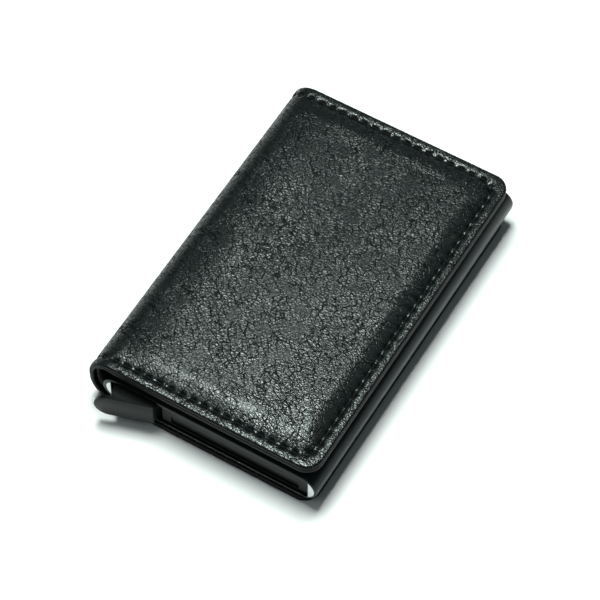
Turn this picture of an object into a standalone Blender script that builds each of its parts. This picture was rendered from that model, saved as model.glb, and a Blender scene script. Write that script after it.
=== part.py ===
"""Card wallet: a padded leather cover folded round a flat aluminium card case with a push lever.

The closed wallet lies on its back panel. X runs from the spine to the open edge, Y from the lever end
to the mouth where the cards come out, Z up through the thickness. The origin is under the middle of
the cover. All lengths are in metres.
"""
import math

import bmesh
import bpy
from mathutils import Matrix

# Clearance between faces that touch on the real wallet
GAP = 0.0003

# Leather cover
LEATHER = 0.0011
LINING = 0.0006
LINING_INSET = 0.0002
CORNER_RADIUS = 0.0045
BACK_INSET = 0.0005
SPINE_LOW_RADIUS = 0.0080
SPINE_TOP_RADIUS = 0.0065
SPINE_ROOM = 0.0020
STITCH_MARGIN = 0.0033
CROWN_SHOULDER = 0.0055
CROWN_CORNER = 0.0050
CROWN_FROM_FOLD = 0.0008
CROWN_SPINE_SHOULDER = 0.0080
CROWN_FULLNESS = 2.2
BOARD = 0.0003
PADDING = 0.0004
PADDING_EDGE = 0.0001
FLAP_CLEARANCE = 0.0013

# Card slots sewn inside the flap
SLOT_LEATHER = 0.0005
SLOT_FROM_FOLD = 0.0060
INNER_SLOT_MOUTH = 0.0120
OUTER_SLOT_MOUTH = 0.0240
OUTER_SLOT_INSET = 0.0013
NOTCH_RADIUS = 0.0080
NOTCH_DEPTH = 0.0045

# Aluminium card case
CASE_LENGTH = 0.1000
CASE_WIDTH = 0.0614
CASE_HEIGHT = 0.0087
CASE_WALL = 0.0008
CASE_SIDE = 0.0024
CASE_SIDE_FLAT = 0.0003
CASE_INNER_RADIUS = 0.0008
CASE_CHAMFER = 0.00025
CASE_OVERHANG = 0.0008
PAD = 0.0005
PAD_MARGIN = 0.0050
PAD_CORNER = 0.0020
FELT = 0.0005
FELT_WIDTH = 0.0060
FELT_SIDE_MARGIN = 0.0042
FELT_FROM_MOUTH = 0.0040
FELT_CORNER = 0.0010

# End cap that closes the lever end of the case
CAP_SETBACK = 0.0006
CAP_FACE_REACH = 0.0011
CAP_PAST_PIVOT = 0.0013
CAP_SKIN = 0.0008
CAP_BLOCK_FROM_PIVOT = 0.0037
CAP_PANEL_MARGIN = 0.0025
CAP_PANEL_LIP = 0.0005
CAP_PANEL_DEPTH = 0.0005
CORE_COUNT = 3
CORE_RIB = 0.0012
EAR = 0.0008
EAR_RADIUS = 0.0027

# Push lever with its stepped card pusher, its pin and its return spring
PIVOT_FROM_SIDE = 0.0181
PIVOT_FROM_END = 0.0042
PIN_RADIUS = 0.0008
HUB_RADIUS = 0.0022
LEVER_REST_ANGLE = math.radians(14.0)
LEVER_SWING_GAP = 0.0005
LEVER_SIDE_GAP = 0.0004
LIP_INSET = 0.0004
LIP_OVERREACH = 0.0009
LIP_FROM_PIVOT = 0.0036
LIP_THICK = 0.00127
LIP_THIN = 0.00040
LIP_EDGE = 0.00025
ARM_ROOT = 0.0002
ARM_FROM_PIVOT = 0.0036
ARM_RIGHT = 0.0040
ARM_RIGHT_ANGLE = math.radians(228.0)
ARM_REAR = 0.0002
NECK_FRONT = 0.0024
NECK_START_ANGLE = math.radians(-135.0)
NECK_OVERLAP = 0.0014
STEP_COUNT = 5
STEP_FIRST = -0.0009
STEP_RISE = 0.0013
STEP_WIDTH = 0.0050
STEP_RELIEF = 0.0015
SPRING_WIRE = 0.00035
SPRING_RADIUS = 0.0019
SPRING_TURNS = 2
SPRING_COIL_GAP = 0.00045

# Fineness of round shapes
ARC_STEPS = 6
CORNER_STEPS = 6
ROUND_STEPS = 6
NOTCH_STEPS = 10
PIN_STEPS = 20
REACH_STEPS = 5
COIL_STEPS = 10
CROWN_PARTS = (0.0, 0.12, 0.32, 0.60, 1.0)
SHARP_ANGLE = math.radians(32.0)
SAME_PLACE = 1e-6

# Cover and case places that follow from the sizes above
LINING_DEPTH = LEATHER + GAP
LAMINATE = LINING_DEPTH + LINING
COVER_WIDTH = LAMINATE + SPINE_ROOM + CASE_WIDTH - CASE_OVERHANG
COVER_LEFT = -COVER_WIDTH / 2
COVER_RIGHT = COVER_WIDTH / 2
HALF_LENGTH = CASE_LENGTH / 2
LINING_HALF_LENGTH = HALF_LENGTH - LINING_INSET
LINING_CORNER = CORNER_RADIUS - LINING_INSET
CASE_LEFT = COVER_LEFT + LAMINATE + SPINE_ROOM
CASE_RIGHT = CASE_LEFT + CASE_WIDTH
PAD_BOTTOM = LAMINATE + GAP
CASE_BOTTOM = PAD_BOTTOM + PAD + GAP
CASE_TOP = CASE_BOTTOM + CASE_HEIGHT
CASE_MIDDLE = (CASE_BOTTOM + CASE_TOP) / 2
OUTER_SLOT_BOTTOM = CASE_TOP + FLAP_CLEARANCE
INNER_SLOT_BOTTOM = OUTER_SLOT_BOTTOM + SLOT_LEATHER + GAP
COVER_TOP = INNER_SLOT_BOTTOM + SLOT_LEATHER + GAP + LAMINATE
FLAP_UNDERSIDE = COVER_TOP - LEATHER
CROWN_HEIGHT = BOARD + GAP + PADDING + GAP
LOW_CENTRE = (COVER_LEFT + SPINE_LOW_RADIUS, SPINE_LOW_RADIUS)
TOP_CENTRE = (COVER_LEFT + SPINE_TOP_RADIUS, COVER_TOP - SPINE_TOP_RADIUS)
LOW_FOLD = math.radians(225.0)
TOP_FOLD = math.radians(135.0)
UNDER = math.radians(270.0)
SIDE = math.radians(180.0)
OVER = math.radians(90.0)

# Places inside the case
CAVITY_LEFT = CASE_LEFT + CASE_SIDE
CAVITY_RIGHT = CASE_RIGHT - CASE_SIDE
CAVITY_BOTTOM = CASE_BOTTOM + CASE_WALL
CAVITY_TOP = CASE_TOP - CASE_WALL
CAP_BOTTOM = CAVITY_BOTTOM + GAP
CAP_TOP = CAVITY_TOP - GAP
CAP_FRONT = -HALF_LENGTH + CAP_SETBACK
PIVOT_X = CASE_LEFT + PIVOT_FROM_SIDE
PIVOT_Y = -HALF_LENGTH + PIVOT_FROM_END
CAP_BACK = PIVOT_Y + CAP_PAST_PIVOT
CAP_FACE_LEFT = PIVOT_X - CAP_FACE_REACH
CAP_BLOCK_LEFT = PIVOT_X + CAP_BLOCK_FROM_PIVOT
CAP_BLOCK_RIGHT = CAVITY_RIGHT - GAP
CAP_WALL_REAR = PIVOT_Y - HUB_RADIUS - GAP
LOW_EAR_TOP = CAP_BOTTOM + EAR
HIGH_EAR_BOTTOM = CAP_TOP - EAR
BORE_RADIUS = PIN_RADIUS + GAP
SPRING_PITCH = SPRING_WIRE + SPRING_COIL_GAP
SPRING_TOP = HIGH_EAR_BOTTOM - GAP - SPRING_WIRE / 2
SPRING_BOTTOM = SPRING_TOP - SPRING_TURNS * SPRING_PITCH
HUB_BOTTOM = LOW_EAR_TOP + GAP
HUB_TOP = SPRING_BOTTOM - SPRING_WIRE / 2 - GAP

# Lever places, measured from the pivot with the lever pressed
ARM_REACH = PIVOT_X - CAVITY_LEFT - LEVER_SWING_GAP
ARM_BOTTOM = CAVITY_BOTTOM + LEVER_SIDE_GAP
ARM_TOP = CAVITY_TOP - LEVER_SIDE_GAP
LIP_REAR = -(PIVOT_FROM_END + GAP)
LIP_LEFT = -(PIVOT_FROM_SIDE + LIP_OVERREACH)
LIP_RIGHT = -LIP_FROM_PIVOT
STEP_LAST = STEP_FIRST + (STEP_COUNT - 1) * STEP_RISE
STEP_HEIGHT = (ARM_TOP - ARM_BOTTOM) / STEP_COUNT
STEP_RIGHT = STEP_WIDTH - ARM_REACH


def clear_scene():
    """Remove every object that the file starts with."""
    for item in list(bpy.data.objects):
        bpy.data.objects.remove(item, do_unlink=True)


def make_material(name, colour, roughness, metallic=0.0):
    """A plain surface with one colour, roughness and metallic value."""
    material = bpy.data.materials.new(name)
    material.use_nodes = True
    shader = material.node_tree.nodes["Principled BSDF"]
    shader.inputs["Base Color"].default_value = (*colour, 1.0)
    shader.inputs["Roughness"].default_value = roughness
    shader.inputs["Metallic"].default_value = metallic
    return material


def make_object(name, bm, material, place=(0.0, 0.0, 0.0), turn=0.0):
    """Turn a bmesh into a named object, shaded smooth except at its real edges."""
    bmesh.ops.recalc_face_normals(bm, faces=bm.faces)
    mesh = bpy.data.meshes.new(name)
    bm.to_mesh(mesh)
    bm.free()
    mesh.shade_smooth()
    mesh.set_sharp_from_angle(angle=SHARP_ANGLE)
    mesh.materials.append(material)
    item = bpy.data.objects.new(name, mesh)
    item.location = place
    item.rotation_euler.z = turn
    bpy.context.collection.objects.link(item)
    return item


def combine(target, tool, operation):
    """Join the tool to the target or cut it out of it, and keep the tool as a guide."""
    tool.hide_render = True
    tool.display_type = "WIRE"
    boolean = target.modifiers.new(tool.name, "BOOLEAN")
    boolean.operation = operation
    boolean.solver = "EXACT"
    boolean.object = tool


def fold_axis(name, centre, radius, angle):
    """An empty on the axis of a fold, on the leather's outer surface in the middle of a bend."""
    axis = bpy.data.objects.new(name, None)
    axis.location = (centre[0] + radius * math.cos(angle), 0.0, centre[1] + radius * math.sin(angle))
    bpy.context.collection.objects.link(axis)
    return axis


def hang_on(item, axis):
    """Parent an item to a fold's axis without moving it."""
    item.parent = axis
    item.matrix_parent_inverse = Matrix.Translation(-axis.location)


def arc(centre, radius, start, end, steps):
    """Pairs of coordinates along an arc, from the start angle to the end angle in radians."""
    points = []
    for step in range(steps + 1):
        angle = start + (end - start) * step / steps
        points.append((centre[0] + radius * math.cos(angle), centre[1] + radius * math.sin(angle)))
    return points


def rounded(left, right, low, high, radius, steps):
    """A rectangle with four round corners, as pairs of coordinates."""
    points = arc((right - radius, low + radius), radius, -OVER, 0.0, steps)
    points += arc((right - radius, high - radius), radius, 0.0, OVER, steps)
    points += arc((left + radius, high - radius), radius, OVER, SIDE, steps)
    return points + arc((left + radius, low + radius), radius, SIDE, UNDER, steps)


def half_rounded(left, right, reach, radius):
    """A rectangle about the X axis with round corners on the right only."""
    points = [(left, -reach)]
    points += arc((right - radius, radius - reach), radius, -OVER, 0.0, CORNER_STEPS)
    points += arc((right - radius, reach - radius), radius, 0.0, OVER, CORNER_STEPS)
    return points + [(left, reach)]


def draw_out(points, direction):
    """A closed solid: a flat face through the points, drawn out in a straight line."""
    bm = bmesh.new()
    face = bm.faces.new([bm.verts.new(point) for point in points])
    grown = bmesh.ops.extrude_face_region(bm, geom=[face])
    moved = [item for item in grown["geom"] if isinstance(item, bmesh.types.BMVert)]
    bmesh.ops.translate(bm, verts=moved, vec=direction)
    return bm


def upright(outline, low, high):
    """A solid with this outline seen from above."""
    return draw_out([(x, y, low) for x, y in outline], (0.0, 0.0, high - low))


def lengthwise(profile, start, end):
    """A solid with this profile seen along the wallet's length."""
    return draw_out([(x, start, z) for x, z in profile], (0.0, end - start, 0.0))


def box(left, right, near, far, low, high):
    """A plain rectangular solid."""
    return upright([(left, near), (right, near), (right, far), (left, far)], low, high)


def loft(rings, closed=False):
    """A solid through rings of as many points each, with its ends capped, or closed on itself."""
    bm = bmesh.new()
    loops = [[bm.verts.new(point) for point in ring] for ring in rings]
    if closed:
        loops.append(loops[0])
    else:
        bm.faces.new(loops[0])
        bm.faces.new(loops[-1])
    for first, second in zip(loops, loops[1:]):
        for i in range(len(first)):
            bm.faces.new((first[i - 1], first[i], second[i], second[i - 1]))
    return bm


def edges_at(bm, x, along):
    """Edges that lie at this x and run along Y, which is 1, or Z, which is 2."""
    across = 3 - along
    found = []
    for edge in bm.edges:
        first, second = (vert.co for vert in edge.verts)
        at_x = abs(first.x - x) < SAME_PLACE and abs(second.x - x) < SAME_PLACE
        if at_x and abs(first[across] - second[across]) < SAME_PLACE:
            found.append(edge)
    return found


def round_edges(bm, edges, radius, steps):
    """Round these edges off."""
    bmesh.ops.bevel(bm, geom=edges, offset=radius, offset_type="OFFSET", segments=steps,
                    profile=0.5, affect="EDGES", clamp_overlap=True, material=-1)


def low_arc(depth, start, end):
    """Arc of the spine's lower bend, this deep below the leather's outer surface."""
    return arc(LOW_CENTRE, SPINE_LOW_RADIUS - depth, start, end, ARC_STEPS)


def top_arc(depth, start, end):
    """Arc of the spine's upper bend, this deep below the leather's outer surface."""
    return arc(TOP_CENTRE, SPINE_TOP_RADIUS - depth, start, end, ARC_STEPS)


def fold_cut(depth, radius):
    """Angle that each side gives up to the cut at a fold, for a layer that ends this deep."""
    return GAP / 2 / (radius - depth)


def back_layer(name, outer, inner, right, reach, corner, material):
    """A layer of the back panel, with its half of the lower bend."""
    end = LOW_FOLD + fold_cut(inner, SPINE_LOW_RADIUS)
    profile = [(right, outer)] + low_arc(outer, UNDER, end)
    profile += low_arc(inner, end, UNDER) + [(right, inner)]
    bm = lengthwise(profile, -reach, reach)
    round_edges(bm, edges_at(bm, right, 2), corner, CORNER_STEPS)
    return make_object(name, bm, material)


def spine_layer(name, outer, inner, reach, material):
    """A layer of the spine, from the lower fold to the upper fold."""
    start = LOW_FOLD - fold_cut(inner, SPINE_LOW_RADIUS)
    end = TOP_FOLD + fold_cut(inner, SPINE_TOP_RADIUS)
    profile = low_arc(outer, start, SIDE) + top_arc(outer, SIDE, end)
    profile += top_arc(inner, end, SIDE) + low_arc(inner, SIDE, start)
    return make_object(name, lengthwise(profile, -reach, reach), material)


def flap_lining(material):
    """The flap's lining, with its half of the upper bend."""
    right = COVER_RIGHT - LINING_INSET
    end = TOP_FOLD - fold_cut(LAMINATE, SPINE_TOP_RADIUS)
    profile = [(right, COVER_TOP - LAMINATE)] + top_arc(LAMINATE, OVER, end)
    profile += top_arc(LINING_DEPTH, end, OVER) + [(right, COVER_TOP - LINING_DEPTH)]
    bm = lengthwise(profile, -LINING_HALF_LENGTH, LINING_HALF_LENGTH)
    round_edges(bm, edges_at(bm, right, 2), LINING_CORNER, CORNER_STEPS)
    return make_object("flap_lining", bm, material)


def crown_rise(part):
    """Height of the crown at a part of its shoulder, from 0 at the stitch line to 1 on top."""
    return CROWN_HEIGHT * (1.0 - (1.0 - part) ** CROWN_FULLNESS)


def crown_part(rise):
    """The part of the shoulder where the crown has risen this far."""
    return 1.0 - (1.0 - rise / CROWN_HEIGHT) ** (1.0 / CROWN_FULLNESS)


def crown_ring(part, height):
    """Points round the crown at a part of its shoulder, all at one height."""
    inset = STITCH_MARGIN + CROWN_SHOULDER * part
    left = TOP_CENTRE[0] + CROWN_FROM_FOLD + CROWN_SPINE_SHOULDER * part
    corner = CORNER_RADIUS + (CROWN_CORNER - CORNER_RADIUS) * part
    outline = half_rounded(left, COVER_RIGHT - inset, HALF_LENGTH - inset, corner)
    return [(x, y, height) for x, y in outline]


def flap_leather(material):
    """Flap leather: flat stitched margin, padded crown and its half of the upper bend."""
    margin = half_rounded(TOP_CENTRE[0], COVER_RIGHT, HALF_LENGTH, CORNER_RADIUS)
    rings = [crown_ring(part, COVER_TOP + crown_rise(part)) for part in reversed(CROWN_PARTS)]
    rings.append([(x, y, COVER_TOP) for x, y in margin])
    rings.append([(x, y, FLAP_UNDERSIDE) for x, y in margin])
    rings += [crown_ring(part, FLAP_UNDERSIDE + crown_rise(part)) for part in CROWN_PARTS]
    bm = loft(rings)
    bmesh.ops.recalc_face_normals(bm, faces=bm.faces)
    bend_flap(bm)
    return make_object("flap_leather", bm, material)


def bend_flap(bm):
    """Draw the flap's spine side round its half of the upper bend."""
    left = TOP_CENTRE[0]
    side = [face for face in bm.faces if all(abs(v.co.x - left) < SAME_PLACE for v in face.verts)]
    sweep = TOP_FOLD - OVER - fold_cut(LEATHER, SPINE_TOP_RADIUS)
    turn = Matrix.Rotation(-sweep / ARC_STEPS, 3, "Y")
    for _ in range(ARC_STEPS):
        grown = bmesh.ops.extrude_face_region(bm, geom=side)
        moved = [item for item in grown["geom"] if isinstance(item, bmesh.types.BMVert)]
        bmesh.ops.rotate(bm, verts=moved, cent=(left, 0.0, TOP_CENTRE[1]), matrix=turn)
        bmesh.ops.delete(bm, geom=side, context="FACES_ONLY")
        side = [item for item in grown["geom"] if isinstance(item, bmesh.types.BMFace)]


def flap_board(material):
    """Thin stiffening board under the padding."""
    part = crown_part(BOARD + GAP)
    outline = [(x, y) for x, y, _ in crown_ring(part, 0.0)]
    return make_object("flap_board", upright(outline, FLAP_UNDERSIDE, FLAP_UNDERSIDE + BOARD), material)


def flap_padding(material):
    """Foam sheet that gives the flap its crown, thin at its edge."""
    bottom = FLAP_UNDERSIDE + BOARD + GAP
    edge = crown_part(BOARD + GAP + PADDING_EDGE + GAP)
    rings = [crown_ring(edge, bottom)]
    for part in (edge, (edge + 1.0) / 2, 1.0):
        rings.append(crown_ring(part, FLAP_UNDERSIDE + crown_rise(part) - GAP))
    return make_object("flap_padding", loft(rings), material)


def card_slot(name, bottom, inset, mouth, material):
    """A card slot's leather, open at the far end with a thumb notch in its edge."""
    left = TOP_CENTRE[0] + SLOT_FROM_FOLD
    right = COVER_RIGHT - LINING_INSET - inset
    near = inset - LINING_HALF_LENGTH
    far = HALF_LENGTH - mouth
    rise = NOTCH_RADIUS - NOTCH_DEPTH
    edge = math.asin(rise / NOTCH_RADIUS)
    corner = (right - LINING_CORNER, near + LINING_CORNER)
    outline = [(left, near)] + arc(corner, LINING_CORNER, -OVER, 0.0, CORNER_STEPS) + [(right, far)]
    outline += arc(((left + right) / 2, far + rise), NOTCH_RADIUS, -edge, edge - SIDE, NOTCH_STEPS)
    outline.append((left, far))
    return make_object(name, upright(outline, bottom, bottom + SLOT_LEATHER), material)


def case_profile(inset):
    """The case's outer profile with half-round sides, drawn in by an inset."""
    radius = (CASE_HEIGHT - CASE_SIDE_FLAT) / 2 - inset
    return rounded(CASE_LEFT + inset, CASE_RIGHT - inset, CASE_BOTTOM + inset, CASE_TOP - inset,
                   radius, ROUND_STEPS)


def case_shell(material):
    """The extruded case: a flat tube with half-round sides, open at both ends."""
    inside = rounded(CAVITY_LEFT, CAVITY_RIGHT, CAVITY_BOTTOM, CAVITY_TOP, CASE_INNER_RADIUS,
                     ROUND_STEPS)
    stations = (
        (case_profile(CASE_CHAMFER), -HALF_LENGTH),
        (case_profile(0.0), CASE_CHAMFER - HALF_LENGTH),
        (case_profile(0.0), HALF_LENGTH - CASE_CHAMFER),
        (case_profile(CASE_CHAMFER), HALF_LENGTH),
        (inside, HALF_LENGTH),
        (inside, -HALF_LENGTH),
    )
    rings = [[(x, y, z) for x, z in profile] for profile, y in stations]
    return make_object("case_shell", loft(rings, closed=True), material)


def case_adhesive_pad(material):
    """The adhesive foam that holds the case on the back panel."""
    reach = HALF_LENGTH - PAD_MARGIN
    outline = rounded(CASE_LEFT + PAD_MARGIN, CASE_RIGHT - PAD_MARGIN, -reach, reach, PAD_CORNER,
                      CORNER_STEPS)
    return make_object("case_adhesive_pad", upright(outline, PAD_BOTTOM, PAD_BOTTOM + PAD), material)


def felt(name, bottom, material):
    """A strip of felt inside the mouth, which holds the cards."""
    far = HALF_LENGTH - FELT_FROM_MOUTH
    outline = rounded(CAVITY_LEFT + FELT_SIDE_MARGIN, CAVITY_RIGHT - FELT_SIDE_MARGIN,
                      far - FELT_WIDTH, far, FELT_CORNER, CORNER_STEPS)
    return make_object(name, upright(outline, bottom, bottom + FELT), material)


def end_cap(material):
    """The moulded cap: cored block, front wall, and two ears that carry the pivot pin."""
    back = math.asin(CAP_PAST_PIVOT / EAR_RADIUS)
    front = SIDE + math.acos(CAP_FACE_REACH / EAR_RADIUS)
    outline = [(CAP_FACE_LEFT, CAP_FRONT), (CAP_BLOCK_RIGHT, CAP_FRONT), (CAP_BLOCK_RIGHT, CAP_BACK)]
    outline += arc((PIVOT_X, PIVOT_Y), EAR_RADIUS, back, front, PIN_STEPS)
    bm = upright(outline, CAP_BOTTOM, CAP_TOP)
    corner = max(CASE_INNER_RADIUS - GAP, GAP)
    round_edges(bm, edges_at(bm, CAP_BLOCK_RIGHT, 1), corner, CORNER_STEPS // 2)
    cap = make_object("end_cap", bm, material)
    lever_room = box(PIVOT_X - 2 * EAR_RADIUS, CAP_BLOCK_LEFT, CAP_WALL_REAR, PIVOT_Y + 2 * EAR_RADIUS,
                     LOW_EAR_TOP, HIGH_EAR_BOTTOM)
    combine(cap, make_object("cap_lever_room", lever_room, material), "DIFFERENCE")
    panel = box(CAP_FACE_LEFT + CAP_PANEL_MARGIN, CAP_BLOCK_RIGHT - CAP_PANEL_MARGIN,
                CAP_FRONT - CAP_PANEL_DEPTH, CAP_FRONT + CAP_PANEL_DEPTH,
                CAP_BOTTOM + CAP_PANEL_LIP, CASE_MIDDLE)
    combine(cap, make_object("cap_panel", panel, material), "DIFFERENCE")
    bore = upright(arc((PIVOT_X, PIVOT_Y), BORE_RADIUS, 0.0, 2 * SIDE, PIN_STEPS)[:-1],
                   CASE_BOTTOM, CASE_TOP)
    combine(cap, make_object("cap_bore", bore, material), "DIFFERENCE")
    pitch = (CAP_BLOCK_RIGHT - CAP_BLOCK_LEFT - CORE_RIB) / CORE_COUNT
    for index in range(CORE_COUNT):
        left = CAP_BLOCK_LEFT + CORE_RIB + pitch * index
        core = box(left, left + pitch - CORE_RIB, CAP_FRONT + CAP_PANEL_DEPTH + CAP_SKIN,
                   CAP_BACK + CAP_SKIN, CAP_BOTTOM + CAP_SKIN, CAP_TOP - CAP_SKIN)
        combine(cap, make_object(f"cap_core_{index + 1}", core, material), "DIFFERENCE")
    return cap


def lever_lip():
    """The thumb lip: a plate with one half-round end that thins towards the pivot."""
    radius = CASE_HEIGHT / 2 - LIP_INSET
    low = CASE_MIDDLE - radius
    profile = [(LIP_RIGHT, low)]
    profile += arc((LIP_LEFT + radius, CASE_MIDDLE), radius, UNDER, OVER, 2 * ROUND_STEPS)
    profile += [(LIP_RIGHT, low + 2 * radius)]
    bm = lengthwise(profile, LIP_REAR, LIP_REAR - LIP_THICK)
    front = [vert for vert in bm.verts if vert.co.y < LIP_REAR - LIP_THICK / 2]
    for vert in front:
        part = (vert.co.x - LIP_LEFT) / (LIP_RIGHT - LIP_LEFT)
        vert.co.y = LIP_REAR - LIP_THICK + (LIP_THICK - LIP_THIN) * part
    rim = [edge for edge in bm.edges if all(vert in front for vert in edge.verts)]
    round_edges(bm, rim, LIP_EDGE, 3)
    return bm


def lever_arm():
    """The lever's arm from the lip into the case, wide enough for the card pusher."""
    front = LIP_REAR - ARM_ROOT
    rear = SIDE - math.asin(ARM_REAR / ARM_FROM_PIVOT)
    reach_far = SIDE - math.asin(STEP_LAST / ARM_REACH)
    reach_near = SIDE - math.asin(front / ARM_REACH)
    outline = [(-ARM_RIGHT, front)]
    outline += arc((0.0, 0.0), ARM_FROM_PIVOT, ARM_RIGHT_ANGLE, rear, CORNER_STEPS)
    outline += [(STEP_RIGHT, ARM_REAR), (STEP_RIGHT, STEP_LAST)]
    outline += arc((0.0, 0.0), ARM_REACH, reach_far, reach_near, REACH_STEPS)
    return upright(outline, ARM_BOTTOM, ARM_TOP)


def lever_neck():
    """The hub round the pin and the neck that ties it to the arm."""
    end = SIDE - math.asin(ARM_REAR / HUB_RADIUS)
    outline = arc((0.0, 0.0), HUB_RADIUS, NECK_START_ANGLE, end, PIN_STEPS)
    tie = -(ARM_FROM_PIVOT + NECK_OVERLAP)
    outline += [(tie, ARM_REAR - GAP), (tie, -NECK_FRONT)]
    return upright(outline, HUB_BOTTOM, HUB_TOP)


def pusher_steps():
    """What is cut from the arm to leave one step for each card, the top step the furthest in."""
    right = STEP_RIGHT + STEP_RELIEF
    below = ARM_BOTTOM - STEP_HEIGHT
    beyond = STEP_LAST + STEP_RISE
    profile = [(STEP_FIRST, below)]
    for step in range(STEP_COUNT - 1):
        tread = STEP_FIRST + STEP_RISE * step
        height = ARM_BOTTOM + STEP_HEIGHT * (step + 1)
        profile += [(tread, height), (tread + STEP_RISE, height)]
    profile[-1] = (beyond, profile[-1][1])
    profile.append((beyond, below))
    left = -(ARM_REACH + STEP_RELIEF)
    return draw_out([(left, y, z) for y, z in profile], (right - left, 0.0, 0.0))


def lever(material):
    """The push lever, turned out to its place at rest."""
    place = (PIVOT_X, PIVOT_Y, 0.0)
    item = make_object("lever", lever_arm(), material, place, LEVER_REST_ANGLE)
    bore = upright(arc((0.0, 0.0), BORE_RADIUS, 0.0, 2 * SIDE, PIN_STEPS)[:-1], CASE_BOTTOM, CASE_TOP)
    for name, bm, operation in (
        ("lever_steps", pusher_steps(), "DIFFERENCE"),
        ("lever_lip", lever_lip(), "UNION"),
        ("lever_neck", lever_neck(), "UNION"),
        ("lever_bore", bore, "DIFFERENCE"),
    ):
        combine(item, make_object(name, bm, material, place, LEVER_REST_ANGLE), operation)
    return item


def pivot_pin(material):
    """The steel pin through both ears and the lever's hub."""
    outline = arc((PIVOT_X, PIVOT_Y), PIN_RADIUS, 0.0, 2 * SIDE, PIN_STEPS)[:-1]
    return make_object("pivot_pin", upright(outline, CAP_BOTTOM, CAP_TOP), material)


def return_spring(material):
    """Torsion spring round the pin: a leg on the cap, its turns, and a leg on the lever."""
    cap_leg = CAP_BLOCK_LEFT - GAP - PIVOT_X
    lever_leg = math.sqrt((ARM_FROM_PIVOT - GAP - SPRING_WIRE) ** 2 - SPRING_RADIUS ** 2)
    points = [(cap_leg, -SPRING_RADIUS, SPRING_BOTTOM)]
    count = SPRING_TURNS * COIL_STEPS
    for step in range(count + 1):
        angle = -OVER - 2 * SIDE * step / COIL_STEPS
        height = SPRING_BOTTOM + (SPRING_TOP - SPRING_BOTTOM) * step / count
        points.append((SPRING_RADIUS * math.cos(angle), SPRING_RADIUS * math.sin(angle), height))
    points.append((-lever_leg, -SPRING_RADIUS, SPRING_TOP))
    curve = bpy.data.curves.new("return_spring", "CURVE")
    curve.dimensions = "3D"
    curve.bevel_depth = SPRING_WIRE / 2
    curve.bevel_resolution = 1
    curve.use_fill_caps = True
    curve.materials.append(material)
    spline = curve.splines.new("POLY")
    spline.points.add(len(points) - 1)
    for spot, (x, y, z) in zip(spline.points, points):
        spot.co = (x, y, z, 1.0)
    spring = bpy.data.objects.new("return_spring", curve)
    spring.location = (PIVOT_X, PIVOT_Y, 0.0)
    bpy.context.collection.objects.link(spring)
    return spring


def build_cover():
    """Leather, lining, board, padding and card slots, hung on the two folds of the spine."""
    leather = make_material("grained_leather", (0.018, 0.021, 0.021), 0.42)
    lining = make_material("lining_leather", (0.016, 0.017, 0.018), 0.60)
    board = make_material("fibre_board", (0.240, 0.200, 0.150), 0.85)
    foam = make_material("foam", (0.060, 0.060, 0.065), 0.95)
    back_right = COVER_RIGHT - BACK_INSET
    back_layer("back_leather", 0.0, LEATHER, back_right, HALF_LENGTH, CORNER_RADIUS, leather)
    back_layer("back_lining", LINING_DEPTH, LAMINATE, back_right - LINING_INSET, LINING_HALF_LENGTH,
               LINING_CORNER, lining)
    spine_axis = fold_axis("spine_fold_axis", LOW_CENTRE, SPINE_LOW_RADIUS, LOW_FOLD)
    flap_axis = fold_axis("flap_fold_axis", TOP_CENTRE, SPINE_TOP_RADIUS, TOP_FOLD)
    hang_on(flap_axis, spine_axis)
    hang_on(spine_layer("spine_leather", 0.0, LEATHER, HALF_LENGTH, leather), spine_axis)
    hang_on(spine_layer("spine_lining", LINING_DEPTH, LAMINATE, LINING_HALF_LENGTH, lining), spine_axis)
    inner_slot = card_slot("card_slot_inner", INNER_SLOT_BOTTOM, 0.0, INNER_SLOT_MOUTH, lining)
    outer_slot = card_slot("card_slot_outer", OUTER_SLOT_BOTTOM, OUTER_SLOT_INSET, OUTER_SLOT_MOUTH,
                           lining)
    flap_pieces = (flap_leather(leather), flap_lining(lining), flap_board(board), flap_padding(foam))
    for piece in (*flap_pieces, inner_slot, outer_slot):
        hang_on(piece, flap_axis)


def build_case():
    """The card case, the cap and mechanism at its lever end, and the felts in its mouth."""
    aluminium = make_material("anodised_aluminium", (0.022, 0.023, 0.025), 0.38, 0.85)
    plastic = make_material("satin_plastic", (0.030, 0.032, 0.034), 0.42)
    steel = make_material("steel", (0.560, 0.560, 0.570), 0.30, 1.0)
    cloth = make_material("felt", (0.020, 0.020, 0.022), 0.95)
    adhesive = make_material("adhesive_foam", (0.040, 0.040, 0.042), 0.90)
    case_adhesive_pad(adhesive)
    case_shell(aluminium)
    end_cap(plastic)
    lever(plastic)
    pivot_pin(steel)
    return_spring(steel)
    felt("lower_felt", CAVITY_BOTTOM + GAP, cloth)
    felt("upper_felt", CAVITY_TOP - GAP - FELT, cloth)


clear_scene()
build_cover()
build_case()
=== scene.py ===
# %% [markdown]
# # A card wallet, dressed over its working frame
#
# The wallet is a black leather cover folded round a flat aluminium card case. A lever at one corner of
# the case pushes the cards out of the far end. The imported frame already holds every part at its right
# size, with its folds and its lever as joints. This file puts leather, thread, paint, metal and plastic
# over that frame, and then sets up a white table, lamps and a camera.
#
# The frame is loaded first and measured, so that everything that follows can be set against it.

# %% Load the frame
import math

import bmesh
import bpy
from mathutils import Matrix, Vector, noise


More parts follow.
